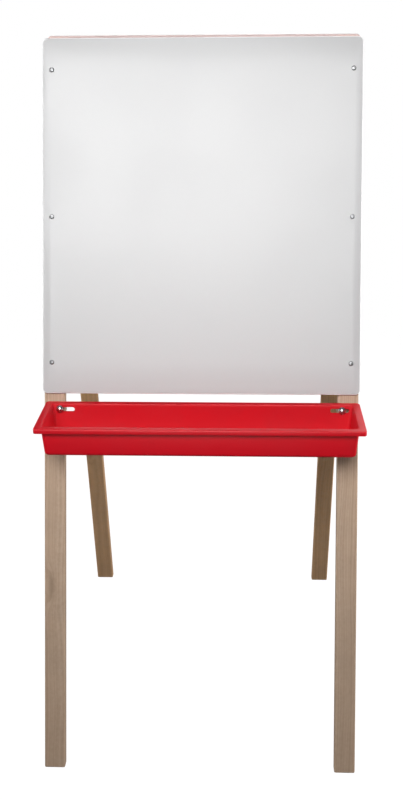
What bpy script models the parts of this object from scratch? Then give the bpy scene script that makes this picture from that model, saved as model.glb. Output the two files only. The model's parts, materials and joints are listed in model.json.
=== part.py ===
# Kids easel: two pairs of hardwood legs hinged at the top, with a dry-erase board and a paint
# tray on each side and a folding steel brace between the legs at each end.
# Metres, +Z up. X runs along the boards, the front board faces -Y, the feet stand on Z = 0.

import math

import bmesh
import bpy
from mathutils import Matrix, Vector

# Fits
TOUCH = 0.0003  # gap between pieces that touch
HOLE_FIT = 0.0003  # how much a hole's radius passes what goes through it

# Legs. Each frame leans in from the floor by LEAN.
LEAN = math.radians(16.0)
LEG_LENGTH = 1.409  # along the outer face
LEG_WIDTH = 0.040
LEG_THICK = 0.019
LEG_ROUND = 0.0028

# Boards
BOARD_WIDTH = 0.6096
BOARD_OVERHANG = 0.0023  # board's side edge beyond the leg's outer side
BOARD_HEIGHT = 0.677
BOARD_THICK = 0.006
BOARD_CORNER = 0.010
BOARD_RISE = 0.0025  # front board's top edge above the leg tops
REAR_BOARD_LIFT = 0.0048  # the rear board sits this much higher up its legs
BOARD_SCREW_SIDE = 0.018  # screw to the board's side edge
BOARD_SCREW_END = 0.060  # screw to the board's top or bottom edge

# Board screws, pan heads
SCREW_RADIUS = 0.0019
SCREW_LENGTH = 0.019
SCREW_HEAD_RADIUS = 0.0047
SCREW_HEAD_HEIGHT = 0.0022

# Paint trays
TRAY_BEYOND_BOLT = 0.031  # bolt to the rim's side edge, with the tray centred
TRAY_DEPTH = 0.150  # over the rim
TRAY_HEIGHT = 0.059
TRAY_WALL = 0.0025
TRAY_LIP = 0.0115  # rim beyond the outer wall
TRAY_LIP_DROP = 0.009
TRAY_DRAFT = math.radians(4.5)
TRAY_CORNER = 0.008
TRAY_FLOOR_ROUND = 0.005
TRAY_BELOW_BOARD = 0.0235  # board's bottom edge to the rim's lower back edge
TRAY_SHIFT = 0.0030  # the slots let the front tray sit a little off centre
SLOT_LENGTH = 0.036
SLOT_BEYOND_BOLT = 0.0105  # the slot's outer end past the bolt
SLOT_FIT = 0.0011  # above and below the bolt's neck
SLOT_DROP = 0.0114  # rim to the slot's centre

# Tray bolts, washers and wing nuts
BOLT_RADIUS = 0.0031
BOLT_IN_LEG = 0.0075  # bolt to the leg's inner side
BOLT_HEAD_BEYOND = 0.0039  # head's rim beyond the shank
BOLT_HEAD_HEIGHT = 0.0038
BOLT_NECK_LENGTH = 0.0040
BOLT_TIP = 0.0008  # chamfer at the end
BOLT_BEYOND_NUT = 0.0020
WASHER_BEYOND = 0.0049
WASHER_THICK = 0.0015
NUT_WALL = 0.0012  # at the top of the hub
NUT_FLARE = 0.0014  # how much wider the hub is at its base
NUT_HEIGHT = 0.0070
NUT_SIDES = 14
WING_REACH = 0.0130  # bolt's axis to a wing's tip
WING_BOTTOM = 0.0030
WING_TOP = 0.0109
WING_CORNER = 0.0026
WING_THICK = 0.0022
WING_TURN = math.radians(65.0)

# Top hinges
LEAF_THICK = 0.0020
LEAF_HEIGHT = 0.028
LEAF_INSET = 0.0010  # leaf's side edge in from the leg's side
LEAF_HALF_GAP = 0.0005  # half of the space between closed leaves
KNUCKLE_WALL = 0.0014
KNUCKLE_MIDDLE = 0.0124  # length of the rear leaf's knuckle
KNUCKLE_GAP = 0.0003
KNUCKLE_CLEAR = 0.0006  # knuckle to the top of the other leaf's plate
PIN_RADIUS = 0.0015
PIN_HEAD_BEYOND = 0.0012
PIN_HEAD_HEIGHT = 0.0008
HINGE_LEG_GAP = 0.0004  # knuckle to the leg's top
HINGE_SCREW_SIDE = 0.0090  # screw to the leaf's side edge
HINGE_SCREW_DROP = 0.0165
HINGE_SCREW_RADIUS = 0.0014
HINGE_SCREW_HEAD = 0.0030
HINGE_SCREW_LENGTH = 0.015

# Folding braces
BRACE_DROP = 0.575  # hinge axis to brace pivot, along the leg
LINK_WIDTH = 0.014
LINK_THICK = 0.0018
LINK_GAP = 0.0005  # between the leg's side, the front link and the rear link
PIVOT_RADIUS = 0.0024
PIVOT_LENGTH_IN_LEG = 0.016
PIVOT_HEAD_BEYOND = 0.0022
PIVOT_HEAD_HEIGHT = 0.0022
BUSH_WALL = 0.0021
RIVET_RADIUS = 0.0024
RIVET_HEAD_BEYOND = 0.0022
RIVET_HEAD_HEIGHT = 0.0016

HOLE_SIDES = 12
TURN_STEPS = 12

# Places that follow from the sizes above, in a frame's own axes: origin on the hinge pin,
# +Z up along the legs, +Y inwards, towards the other frame.
LEG_SPREAD = BOARD_WIDTH - 2 * BOARD_OVERHANG  # over the outer sides of a pair
LEG_INNER_Y = -(LEAF_HALF_GAP + LEAF_THICK + TOUCH)
LEG_OUTER_Y = LEG_INNER_Y - LEG_THICK
LEG_MIDDLE_Y = (LEG_INNER_Y + LEG_OUTER_Y) / 2
KNUCKLE_RADIUS = PIN_RADIUS + HOLE_FIT + KNUCKLE_WALL
LEG_TOP_Z = -KNUCKLE_RADIUS - HINGE_LEG_GAP
LEG_FOOT_Z = LEG_TOP_Z - LEG_LENGTH
LEG_X = (LEG_SPREAD - LEG_WIDTH) / 2
LEG_SIDE_X = LEG_SPREAD / 2 - LEG_WIDTH  # the side that faces the other leg of the pair
PIN_HEIGHT = -LEG_FOOT_Z * math.cos(LEAN) + LEG_OUTER_Y * math.sin(LEAN)
BOARD_BACK_Y = LEG_OUTER_Y - TOUCH
BOARD_FACE_Y = BOARD_BACK_Y - BOARD_THICK
BOARD_TOP_Z = LEG_TOP_Z + BOARD_RISE
TRAY_TOUCH_Z = BOARD_TOP_Z - BOARD_HEIGHT - TRAY_BELOW_BOARD
BOLT_X = LEG_SIDE_X + BOLT_IN_LEG
TRAY_WIDTH = 2 * (BOLT_X + TRAY_BEYOND_BOLT)  # over the rim
BOLT_NECK = 2 * BOLT_RADIUS  # side of the square neck
BOLT_HEAD_RADIUS = BOLT_RADIUS + BOLT_HEAD_BEYOND
BOLT_BORE = BOLT_RADIUS + HOLE_FIT
SLOT_HEIGHT = BOLT_NECK + 2 * SLOT_FIT
LEAF_WIDTH = LEG_WIDTH - 2 * LEAF_INSET
BRACE_REACH = BRACE_DROP * math.sin(LEAN) - LEG_MIDDLE_Y * math.cos(LEAN)


def clear_scene():
    for obj in list(bpy.data.objects):
        bpy.data.objects.remove(obj, do_unlink=True)


def new_collection(name, hidden=False):
    collection = bpy.data.collections.new(name)
    bpy.context.scene.collection.children.link(collection)
    collection.hide_render = hidden
    return collection


def new_material(name, color, roughness, metallic=0.0):
    material = bpy.data.materials.new(name)
    material.use_nodes = True
    shader = material.node_tree.nodes["Principled BSDF"]
    shader.inputs["Base Color"].default_value = (*color, 1.0)
    shader.inputs["Roughness"].default_value = roughness
    shader.inputs["Metallic"].default_value = metallic
    return material


def new_empty(name, parent=None, location=(0, 0, 0), rotation=(0, 0, 0)):
    empty = bpy.data.objects.new(name, None)
    parts.objects.link(empty)
    empty.parent = parent
    empty.location = location
    empty.rotation_euler = rotation
    return empty


def new_object(name, mesh, parent, material=None, location=(0, 0, 0), rotation=(0, 0, 0)):
    """A sub-part where a material is given, otherwise a cutter."""
    obj = bpy.data.objects.new(name, mesh)
    obj.parent = parent
    obj.location = location
    obj.rotation_euler = rotation
    if material:
        parts.objects.link(obj)
        if not mesh.materials:
            mesh.materials.append(material)
    else:
        cutters.objects.link(obj)
        obj.hide_render = True
        obj.display_type = "WIRE"
    return obj


def mesh_from(name, shape, smooth=False):
    mesh = bpy.data.meshes.new(name)
    shape.to_mesh(mesh)
    shape.free()
    if smooth:
        mesh.shade_smooth()
        mesh.set_sharp_from_angle(angle=math.radians(35))
    return mesh


def box(size, center=(0, 0, 0)):
    shape = bmesh.new()
    place = Matrix.Translation(center) @ Matrix.Diagonal((*size, 1.0))
    bmesh.ops.create_cube(shape, size=1.0, matrix=place)
    return shape


def round_edges(shape, edges, radius, segments):
    bmesh.ops.bevel(
        shape,
        geom=edges,
        offset=radius,
        offset_type="OFFSET",
        segments=segments,
        profile=0.5,
        affect="EDGES",
        clamp_overlap=True,
    )


def edges_along(shape, axis):
    """The edges that run along one axis of a box."""
    found = []
    for edge in shape.edges:
        run = (edge.verts[1].co - edge.verts[0].co).normalized()
        if abs(run[axis]) > 0.99:
            found.append(edge)
    return found


def add_rod(shape, radius, start, end, sides=HOLE_SIDES, end_radius=None):
    """A cylinder or cone between two points."""
    start, end = Vector(start), Vector(end)
    run = end - start
    aim = run.to_track_quat("Z", "Y").to_matrix().to_4x4()
    bmesh.ops.create_cone(
        shape,
        cap_ends=True,
        segments=sides,
        radius1=radius,
        radius2=radius if end_radius is None else end_radius,
        depth=run.length,
        matrix=Matrix.Translation((start + end) / 2) @ aim,
    )


def rod_mesh(name, *rod, **more):
    shape = bmesh.new()
    add_rod(shape, *rod, **more)
    return mesh_from(name, shape, smooth=True)


def drill(obj, name, rods, frame):
    """Cuts several holes at once, each given as a radius, a start and an end."""
    shape = bmesh.new()
    for rod in rods:
        add_rod(shape, *rod)
    combine(obj, new_object(name, mesh_from(name, shape, smooth=True), frame))


def turned_mesh(name, profile):
    """The outline that a Screw modifier turns: (radius, height) from the top down, at +X."""
    shape = bmesh.new()
    points = [shape.verts.new((radius, 0.0, height)) for radius, height in profile]
    for upper, lower in zip(points, points[1:]):
        shape.edges.new((upper, lower))
    return mesh_from(name, shape)


def turn(obj, steps=TURN_STEPS):
    modifier = obj.modifiers.new("Turn", "SCREW")
    modifier.axis = "Z"
    modifier.angle = math.tau
    modifier.steps = steps
    modifier.render_steps = steps
    modifier.use_merge_vertices = True
    modifier.merge_threshold = 0.00001
    modifier.use_smooth_shade = True


def combine(obj, other, operation="DIFFERENCE"):
    modifier = obj.modifiers.new(operation.title(), "BOOLEAN")
    modifier.operation = operation
    modifier.solver = "EXACT"
    modifier.object = other


def dome(radius, height, steps=3):
    """Profile points of a low round head above height 0, from the top down to its rim."""
    sphere = (radius**2 + height**2) / (2 * height)
    spread = math.asin(radius / sphere)
    points = []
    for step in range(steps + 1):
        angle = spread * step / steps
        points.append((sphere * math.sin(angle), height - sphere * (1 - math.cos(angle))))
    return points


def side_name(x):
    return "left" if x < 0 else "right"


def rounded_plate(width, height, thick, corner, segments):
    """A flat plate in XZ with rounded corners."""
    shape = box((width, thick, height))
    round_edges(shape, edges_along(shape, 1), corner, segments)
    return shape


def leg_mesh():
    """A bar whose foot is cut level with the floor, with every edge eased."""
    shape = box((LEG_WIDTH, LEG_THICK, LEG_LENGTH), (0, 0, -LEG_LENGTH / 2))
    for vert in shape.verts:
        if vert.co.z < -LEG_LENGTH / 2 and vert.co.y > 0:
            vert.co.z += LEG_THICK * math.tan(LEAN)
    round_edges(shape, list(shape.edges), LEG_ROUND, 2)
    return mesh_from("leg", shape, smooth=True)


def tray_mesh():
    """The inner face of the tray and the top of its rim, as one open surface. The origin is
    at the top of the rim's back edge, +Y towards the legs."""
    inner_edge = TRAY_LIP + TRAY_WALL
    depth = TRAY_HEIGHT - TRAY_WALL
    width_in = TRAY_WIDTH - 2 * inner_edge
    length_in = TRAY_DEPTH - 2 * inner_edge
    middle = Vector((0, -TRAY_DEPTH / 2, 0))
    shape = box((width_in, length_in, depth), middle - Vector((0, 0, depth / 2)))
    shrink = depth * math.tan(TRAY_DRAFT)
    for vert in shape.verts:
        if vert.co.z < -depth / 2:
            vert.co.x -= math.copysign(shrink, vert.co.x)
            vert.co.y -= math.copysign(shrink, vert.co.y - middle.y)
    top = [face for face in shape.faces if face.normal.z > 0.9]
    bmesh.ops.delete(shape, geom=top, context="FACES_ONLY")
    bmesh.ops.reverse_faces(shape, faces=list(shape.faces))
    upright = [edge for edge in shape.edges if abs(edge.verts[0].co.z - edge.verts[1].co.z) > depth / 2]
    round_edges(shape, upright, TRAY_CORNER, 3)
    floor_edges = [edge for edge in shape.edges if all(vert.co.z < -depth * 0.99 for vert in edge.verts)]
    round_edges(shape, floor_edges, TRAY_FLOOR_ROUND, 2)
    chamfer = TRAY_WALL * 0.8
    for reach, height in (
        (inner_edge - chamfer, 0.0),
        (inner_edge, -chamfer),
        (inner_edge, -TRAY_LIP_DROP),
    ):
        rim = [edge for edge in shape.edges if edge.is_boundary]
        grown = bmesh.ops.extrude_edge_only(shape, edges=rim)["geom"]
        verts = [item for item in grown if isinstance(item, bmesh.types.BMVert)]
        spread = max(vert.co.x for vert in verts)
        deep = max(vert.co.y - middle.y for vert in verts)
        for vert in verts:
            vert.co.x *= (width_in / 2 + reach) / spread
            vert.co.y = middle.y + (vert.co.y - middle.y) * (length_in / 2 + reach) / deep
            vert.co.z = height
    return mesh_from("tray", shape, smooth=True)


def tray_droop():
    """The turn that brings the rim's lower back edge and the tray's bottom edge onto the legs."""
    drop = TRAY_HEIGHT - TRAY_FLOOR_ROUND / 2 - TRAY_LIP_DROP
    back = TRAY_LIP + drop * math.tan(TRAY_DRAFT)
    return math.atan2(back, drop) - LEAN


def add_leg(frame, frame_name, turn_sign, side, screw_holes, bolt_z):
    x = side * LEG_X
    leg = new_object(
        f"{frame_name}_leg_{side_name(x * turn_sign)}",
        leg_shape,
        frame,
        wood,
        (x, LEG_MIDDLE_Y, LEG_TOP_Z),
    )
    across = side * BOLT_X
    bolt_hole = (
        BOLT_BORE,
        (across, LEG_OUTER_Y - LEG_THICK, bolt_z),
        (across, LEG_INNER_Y + LEG_THICK, bolt_z),
    )
    pivot_hole = (
        PIVOT_RADIUS + HOLE_FIT,
        (side * (LEG_SIDE_X - LEG_WIDTH / 2), LEG_MIDDLE_Y, -BRACE_DROP),
        (side * (LEG_SIDE_X + PIVOT_LENGTH_IN_LEG + TOUCH), LEG_MIDDLE_Y, -BRACE_DROP),
    )
    holes = [*screw_holes[side], bolt_hole, pivot_hole]
    z = -HINGE_SCREW_DROP
    screw_end = -LEAF_HALF_GAP - HINGE_SCREW_LENGTH - 2 * TOUCH
    for _, screw_x in hinge_screw_places(x):
        holes.append((HINGE_SCREW_RADIUS + HOLE_FIT, (screw_x, 0, z), (screw_x, screw_end, z)))
    drill(leg, "leg_holes", holes, frame)


def hinge_screw_places(leg_x):
    """The number and X of each screw in a hinge leaf."""
    across = LEAF_WIDTH / 2 - HINGE_SCREW_SIDE
    return ((1, leg_x - across), (2, leg_x + across))


def add_board(frame, frame_name, turn_sign, lift):
    """The board and its six screws. It gives back their holes, by side, for the legs."""
    middle_z = BOARD_TOP_Z + lift - BOARD_HEIGHT / 2
    shape = rounded_plate(BOARD_WIDTH, BOARD_HEIGHT, BOARD_THICK, BOARD_CORNER, 4)
    place = (0, BOARD_BACK_Y - BOARD_THICK / 2, middle_z)
    board = new_object(f"{frame_name}_board", mesh_from("board", shape), frame, board_white, place)
    holes = {-1: [], 1: []}
    across = BOARD_WIDTH / 2 - BOARD_SCREW_SIDE
    up = BOARD_HEIGHT / 2 - BOARD_SCREW_END
    for side in (-1, 1):
        for row, rise in (("top", up), ("middle", 0.0), ("bottom", -up)):
            x = side * across
            z = middle_z + rise
            start = (x, BOARD_FACE_Y - BOARD_THICK, z)
            end = (x, BOARD_FACE_Y + SCREW_LENGTH + TOUCH, z)
            holes[side].append((SCREW_RADIUS + HOLE_FIT, start, end))
            screw = new_object(
                f"{frame_name}_board_screw_{row}_{side_name(x * turn_sign)}",
                board_screw_shape,
                frame,
                steel,
                (x, BOARD_FACE_Y - TOUCH, z),
                (math.radians(90), 0, 0),
            )
            turn(screw)
    drill(board, "board_holes", holes[-1] + holes[1], frame)
    return holes


def screw_profile(radius, length, head_radius, head_height):
    """A domed head above height 0 and a shank with a short point below it."""
    return [
        *dome(head_radius, head_height),
        (radius, 0.0),
        (radius, -length + 2 * radius),
        (0.0, -length),
    ]


def countersunk_profile(radius, length, head_radius, head_height):
    """A flat head whose top is at height 0, with its cone and shank below."""
    return [
        (0.0, 0.0),
        (head_radius, 0.0),
        (radius, -head_height),
        (radius, -length + 2 * radius),
        (0.0, -length),
    ]


def add_tray(frame, frame_name, turn_sign, shift):
    """The tray with its bolts, washers and wing nuts. It gives back the bolts' height."""
    droop = tray_droop()
    tilt = Matrix.Rotation(LEAN + droop, 4, "X")
    lip_foot = tilt @ Vector((0, 0, -TRAY_LIP_DROP))
    seat_place = Vector((shift, LEG_OUTER_Y - TOUCH - lip_foot.y, TRAY_TOUCH_Z - lip_foot.z))
    seat = new_empty(f"{frame_name}_tray_seat", frame, seat_place, (LEAN + droop, 0, 0))
    tray = new_object(f"{frame_name}_tray", tray_shape, seat, tray_red)
    shell = tray.modifiers.new("Wall", "SOLIDIFY")
    shell.thickness = TRAY_WALL
    shell.offset = -1
    shell.use_even_offset = True
    wall_y = -(TRAY_LIP + TRAY_WALL / 2) - SLOT_DROP * math.tan(TRAY_DRAFT)
    slot_x = BOLT_X + SLOT_BEYOND_BOLT - SLOT_LENGTH / 2
    for side in (-1, 1):
        slot = rounded_plate(SLOT_LENGTH, SLOT_HEIGHT, 6 * TRAY_WALL, SLOT_HEIGHT * 0.49, 3)
        place = (side * slot_x, wall_y, -SLOT_DROP)
        combine(tray, new_object("tray_slot", mesh_from("tray_slot", slot), seat, None, place))
    slot_middle = Matrix.Translation(seat_place) @ tilt @ Vector((0, wall_y, -SLOT_DROP))
    to_wall = LEAN + droop - TRAY_DRAFT  # between the bolt and the tray wall's normal
    head_lift = BOLT_HEAD_RADIUS * math.tan(to_wall) + TRAY_WALL / 2 / math.cos(to_wall)
    head_y = slot_middle.y - head_lift - TOUCH
    bolt_z = slot_middle.z
    nut_y = LEG_INNER_Y + 2 * TOUCH + WASHER_THICK
    bolt_length = nut_y + NUT_HEIGHT + BOLT_BEYOND_NUT - head_y
    for side in (-1, 1):
        x = side * BOLT_X
        ending = side_name(x * turn_sign)
        outwards = (math.radians(90), 0, 0)
        bolt = new_object(
            f"{frame_name}_tray_bolt_{ending}",
            turned_mesh("tray_bolt", bolt_profile(bolt_length)),
            frame,
            steel,
            (x, head_y, bolt_z),
            outwards,
        )
        turn(bolt, 16)
        neck_place = (x, head_y + BOLT_NECK_LENGTH / 2 - TOUCH, bolt_z)
        neck = box((BOLT_NECK, BOLT_NECK_LENGTH, BOLT_NECK))
        neck = new_object("bolt_neck", mesh_from("bolt_neck", neck), frame, None, neck_place)
        combine(bolt, neck, "UNION")
        add_washer(frame, f"{frame_name}_tray_washer_{ending}", (x, LEG_INNER_Y + TOUCH, bolt_z))
        add_wing_nut(frame, f"{frame_name}_tray_wing_nut_{ending}", (x, nut_y, bolt_z))
    return bolt_z


def bolt_profile(length):
    return [
        *dome(BOLT_HEAD_RADIUS, BOLT_HEAD_HEIGHT),
        (BOLT_RADIUS, 0.0),
        (BOLT_RADIUS, -length + BOLT_TIP),
        (BOLT_RADIUS - BOLT_TIP, -length),
        (0.0, -length),
    ]


def ring_mesh(name, inner, outer, height):
    """The closed outline of a ring that stands on height 0, down its outer side."""
    shape = bmesh.new()
    outline = ((inner, height), (outer, height), (outer, 0.0), (inner, 0.0))
    points = [shape.verts.new((radius, 0.0, level)) for radius, level in outline]
    for index, point in enumerate(points):
        shape.edges.new((point, points[(index + 1) % len(points)]))
    return mesh_from(name, shape)


def add_washer(frame, name, place):
    ring = ring_mesh("washer", BOLT_BORE, BOLT_RADIUS + WASHER_BEYOND, WASHER_THICK)
    washer = new_object(name, ring, frame, steel, place, (math.radians(-90), 0, 0))
    turn(washer, 16)


def add_wing_nut(frame, name, place):
    """A tapered hub and two raised wings, with the bolt's hole through it."""
    seat = new_empty(f"{name}_seat", frame, place, (math.radians(-90), WING_TURN, 0))
    top = BOLT_BORE + NUT_WALL
    base = top + NUT_FLARE
    hub = rod_mesh("hub", base, (0, 0, 0), (0, 0, NUT_HEIGHT), NUT_SIDES, top)
    nut = new_object(name, hub, seat, steel)
    root = BOLT_BORE + WING_THICK / 2
    for side in (-1, 1):
        wing_size = (WING_REACH - root, WING_TOP - WING_BOTTOM, WING_THICK)
        wing = rounded_plate(*wing_size, WING_CORNER, 2)
        for vert in wing.verts:
            vert.co.x = side * (vert.co.x + (WING_REACH + root) / 2)
            vert.co.z += (WING_TOP + WING_BOTTOM) / 2
        if side < 0:
            bmesh.ops.reverse_faces(wing, faces=list(wing.faces))
        combine(nut, new_object("wing", mesh_from("wing", wing), seat), "UNION")
    bore = rod_mesh("nut_bore", BOLT_BORE, (0, 0, -NUT_HEIGHT), (0, 0, 2 * NUT_HEIGHT), NUT_SIDES)
    combine(nut, new_object("nut_bore", bore, seat))


def add_hinge_leaf(frame, frame_name, turn_sign, side):
    """A plate on the leg's inner face, with knuckles round the pin at the frame's origin."""
    x = side * LEG_X
    plate_top = -KNUCKLE_RADIUS - KNUCKLE_CLEAR
    plate_y = -LEAF_HALF_GAP - LEAF_THICK / 2
    plate_height = LEAF_HEIGHT + plate_top
    plate = box((LEAF_WIDTH, LEAF_THICK, plate_height), (x, plate_y, plate_top - plate_height / 2))
    leaf = new_object(
        f"{frame_name}_hinge_leaf_{side_name(x * turn_sign)}",
        mesh_from("hinge_leaf", plate),
        frame,
        hinge_steel,
    )
    half_middle = KNUCKLE_MIDDLE / 2
    if frame_name == "front":
        start = half_middle + KNUCKLE_GAP
        spans = ((-LEAF_WIDTH / 2, -start), (start, LEAF_WIDTH / 2))
    else:
        spans = ((-half_middle, half_middle),)
    for low, high in spans:
        middle = x + (low + high) / 2
        tab_size = (high - low - TOUCH, LEAF_THICK - TOUCH, 2 * KNUCKLE_RADIUS)
        tab = box(tab_size, (middle, plate_y, -KNUCKLE_RADIUS))
        combine(leaf, new_object("hinge_tab", mesh_from("hinge_tab", tab), frame), "UNION")
        barrel = rod_mesh("knuckle", KNUCKLE_RADIUS, (x + low, 0, 0), (x + high, 0, 0), 16)
        combine(leaf, new_object("knuckle", barrel, frame), "UNION")
    bore = rod_mesh("pin_bore", PIN_RADIUS + HOLE_FIT, (x - LEG_WIDTH, 0, 0), (x + LEG_WIDTH, 0, 0))
    combine(leaf, new_object("pin_bore", bore, frame))
    for number, screw_x in hinge_screw_places(x):
        add_hinge_screw(frame, frame_name, turn_sign, leaf, screw_x, x, number)


def add_hinge_screw(frame, frame_name, turn_sign, leaf, screw_x, leg_x, number):
    """A countersunk screw, its head just under the leaf's face, and its hole in the leaf."""
    z = -HINGE_SCREW_DROP
    face_y = -LEAF_HALF_GAP
    head_height = LEAF_THICK * 0.8
    slope = (HINGE_SCREW_HEAD - HINGE_SCREW_RADIUS) / head_height
    wide = HINGE_SCREW_HEAD + 2 * HOLE_FIT
    sink = rod_mesh(
        "countersink",
        wide + slope * LEAF_THICK,
        (screw_x, face_y + LEAF_THICK, z),
        (screw_x, face_y - head_height, z),
        14,
        wide - slope * head_height,
    )
    combine(leaf, new_object("countersink", sink, frame))
    through = rod_mesh(
        "leaf_hole",
        HINGE_SCREW_RADIUS + HOLE_FIT,
        (screw_x, face_y + LEAF_THICK, z),
        (screw_x, face_y - 2 * LEAF_THICK, z),
        14,
    )
    combine(leaf, new_object("leaf_hole", through, frame))
    profile = countersunk_profile(
        HINGE_SCREW_RADIUS, HINGE_SCREW_LENGTH, HINGE_SCREW_HEAD, head_height
    )
    ending = f"{side_name(leg_x * turn_sign)}_{number}"
    screw = new_object(
        f"{frame_name}_hinge_screw_{ending}",
        turned_mesh("hinge_screw", profile),
        frame,
        hinge_steel,
        (screw_x, face_y - TOUCH / 2, z),
        (math.radians(-90), 0, 0),
    )
    turn(screw)


def add_hinge_pin(frame, side):
    length = LEAF_WIDTH + 2 * TOUCH
    half = length / 2
    head = PIN_RADIUS + PIN_HEAD_BEYOND
    profile = [
        (0.0, half + PIN_HEAD_HEIGHT),
        (head * 0.8, half + PIN_HEAD_HEIGHT),
        (head, half),
        (PIN_RADIUS, half),
        (PIN_RADIUS, -half),
        (head, -half),
        (head * 0.8, -half - PIN_HEAD_HEIGHT),
        (0.0, -half - PIN_HEAD_HEIGHT),
    ]
    pin = new_object(
        f"hinge_pin_{side_name(side)}",
        turned_mesh("hinge_pin", profile),
        frame,
        hinge_steel,
        (side * LEG_X, 0, 0),
        (0, math.radians(90), 0),
    )
    turn(pin)


def brace_plane(layer):
    """Distance from the centre to the outer face of a link, by its layer in from the leg."""
    return LEG_SIDE_X - LINK_GAP - layer * (LINK_THICK + LINK_GAP)


def add_link(frame, frame_name, turn_sign, side, layer):
    """A flat steel link from the leg to the middle of the easel. It turns about its empty."""
    ending = side_name(side * turn_sign)
    place = (0, LEG_MIDDLE_Y, -BRACE_DROP)
    pivot = new_empty(f"brace_{frame_name}_pivot_{ending}", frame, place, (LEAN, 0, 0))
    shape = box((LINK_THICK, BRACE_REACH + LINK_WIDTH, LINK_WIDTH), (0, BRACE_REACH / 2, 0))
    round_edges(shape, edges_along(shape, 0), LINK_WIDTH * 0.495, 4)
    x = side * (brace_plane(layer) - LINK_THICK / 2)
    for vert in shape.verts:
        vert.co.x += x
    name = f"brace_{frame_name}_link_{ending}"
    link = new_object(name, mesh_from("brace_link", shape), pivot, steel)
    for along, radius in ((0.0, PIVOT_RADIUS), (BRACE_REACH, RIVET_RADIUS)):
        hole = rod_mesh(
            "link_hole",
            radius + HOLE_FIT,
            (x - 2 * LINK_WIDTH, along, 0),
            (x + 2 * LINK_WIDTH, along, 0),
        )
        combine(link, new_object("link_hole", hole, pivot))
    return pivot


def inwards(side):
    """Turns a screw, whose head is at the top of its profile, so that the head faces the centre."""
    return (0, math.radians(-90) * side, 0)


def add_pivot_screw(frame, frame_name, turn_sign, side, layer):
    """The screw that a link turns on, from the link's inner face into the leg's side."""
    seat_x = brace_plane(layer) - LINK_THICK - TOUCH
    length = LEG_SIDE_X + PIVOT_LENGTH_IN_LEG - seat_x
    head = PIVOT_RADIUS + PIVOT_HEAD_BEYOND
    profile = screw_profile(PIVOT_RADIUS, length, head, PIVOT_HEAD_HEIGHT)
    screw = new_object(
        f"brace_{frame_name}_screw_{side_name(side * turn_sign)}",
        turned_mesh("pivot_screw", profile),
        frame,
        steel,
        (side * seat_x, LEG_MIDDLE_Y, -BRACE_DROP),
        inwards(side),
    )
    turn(screw)


def add_bush(frame, turn_sign, side):
    """The ring that holds the rear link off the leg by the thickness of the front link."""
    length = LEG_SIDE_X - brace_plane(1) - 2 * TOUCH
    bore = PIVOT_RADIUS + HOLE_FIT
    ring = ring_mesh("brace_bush", bore, bore + BUSH_WALL, length)
    bush = new_object(
        f"brace_rear_bush_{side_name(side * turn_sign)}",
        ring,
        frame,
        steel,
        (side * (LEG_SIDE_X - TOUCH), LEG_MIDDLE_Y, -BRACE_DROP),
        inwards(side),
    )
    turn(bush)


def add_rivet(pivot, turn_sign, side):
    """The rivet at the links' meeting point, held in the rear link. Its tail stops short of
    the front link, because the loop that the two links close is open there."""
    seat_x = brace_plane(1) - LINK_THICK - TOUCH
    profile = [
        *dome(RIVET_RADIUS + RIVET_HEAD_BEYOND, RIVET_HEAD_HEIGHT),
        (RIVET_RADIUS, 0.0),
        (RIVET_RADIUS, -LINK_THICK - TOUCH),
        (0.0, -LINK_THICK - TOUCH),
    ]
    rivet = new_object(
        f"brace_rivet_{side_name(side * turn_sign)}",
        turned_mesh("brace_rivet", profile),
        pivot,
        steel,
        (side * seat_x, BRACE_REACH, 0),
        inwards(side),
    )
    turn(rivet)


def add_frame(frame_name, turn_sign, shift, lift):
    """One side of the easel, on an empty at the hinge pin. The rear side is the front side
    turned half round about the upright through the pin."""
    heading = 0.0 if turn_sign > 0 else math.pi
    frame = new_empty(f"{frame_name}_frame", None, (0, 0, PIN_HEIGHT), (-LEAN, 0, heading))
    holes = add_board(frame, frame_name, turn_sign, lift)
    bolt_z = add_tray(frame, frame_name, turn_sign, shift)
    layer = 0 if turn_sign > 0 else 1
    for side in (-1, 1):
        add_leg(frame, frame_name, turn_sign, side, holes, bolt_z)
        add_hinge_leaf(frame, frame_name, turn_sign, side)
        pivot = add_link(frame, frame_name, turn_sign, side, layer)
        add_pivot_screw(frame, frame_name, turn_sign, side, layer)
        if turn_sign > 0:
            add_hinge_pin(frame, side)
        else:
            add_bush(frame, turn_sign, side)
            add_rivet(pivot, turn_sign, side)


clear_scene()
parts = new_collection("kids_easel")
cutters = new_collection("cutters", hidden=True)

wood = new_material("pale_hardwood", (0.56, 0.42, 0.28), 0.55)
board_white = new_material("white_dry_erase", (0.82, 0.82, 0.83), 0.12)
tray_red = new_material("red_plastic", (0.58, 0.004, 0.016), 0.28)
steel = new_material("zinc_plated_steel", (0.62, 0.62, 0.62), 0.25, 1.0)
hinge_steel = new_material("plain_steel", (0.50, 0.50, 0.49), 0.35, 1.0)

leg_shape = leg_mesh()
tray_shape = tray_mesh()
board_screw_shape = turned_mesh(
    "board_screw",
    screw_profile(SCREW_RADIUS, SCREW_LENGTH, SCREW_HEAD_RADIUS, SCREW_HEAD_HEIGHT),
)

add_frame("front", 1, TRAY_SHIFT, 0.0)
add_frame("rear", -1, 0.0, REAR_BOARD_LIFT)
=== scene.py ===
import json
import math
import random

import bmesh
import bpy
from mathutils import Matrix, Vector


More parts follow.
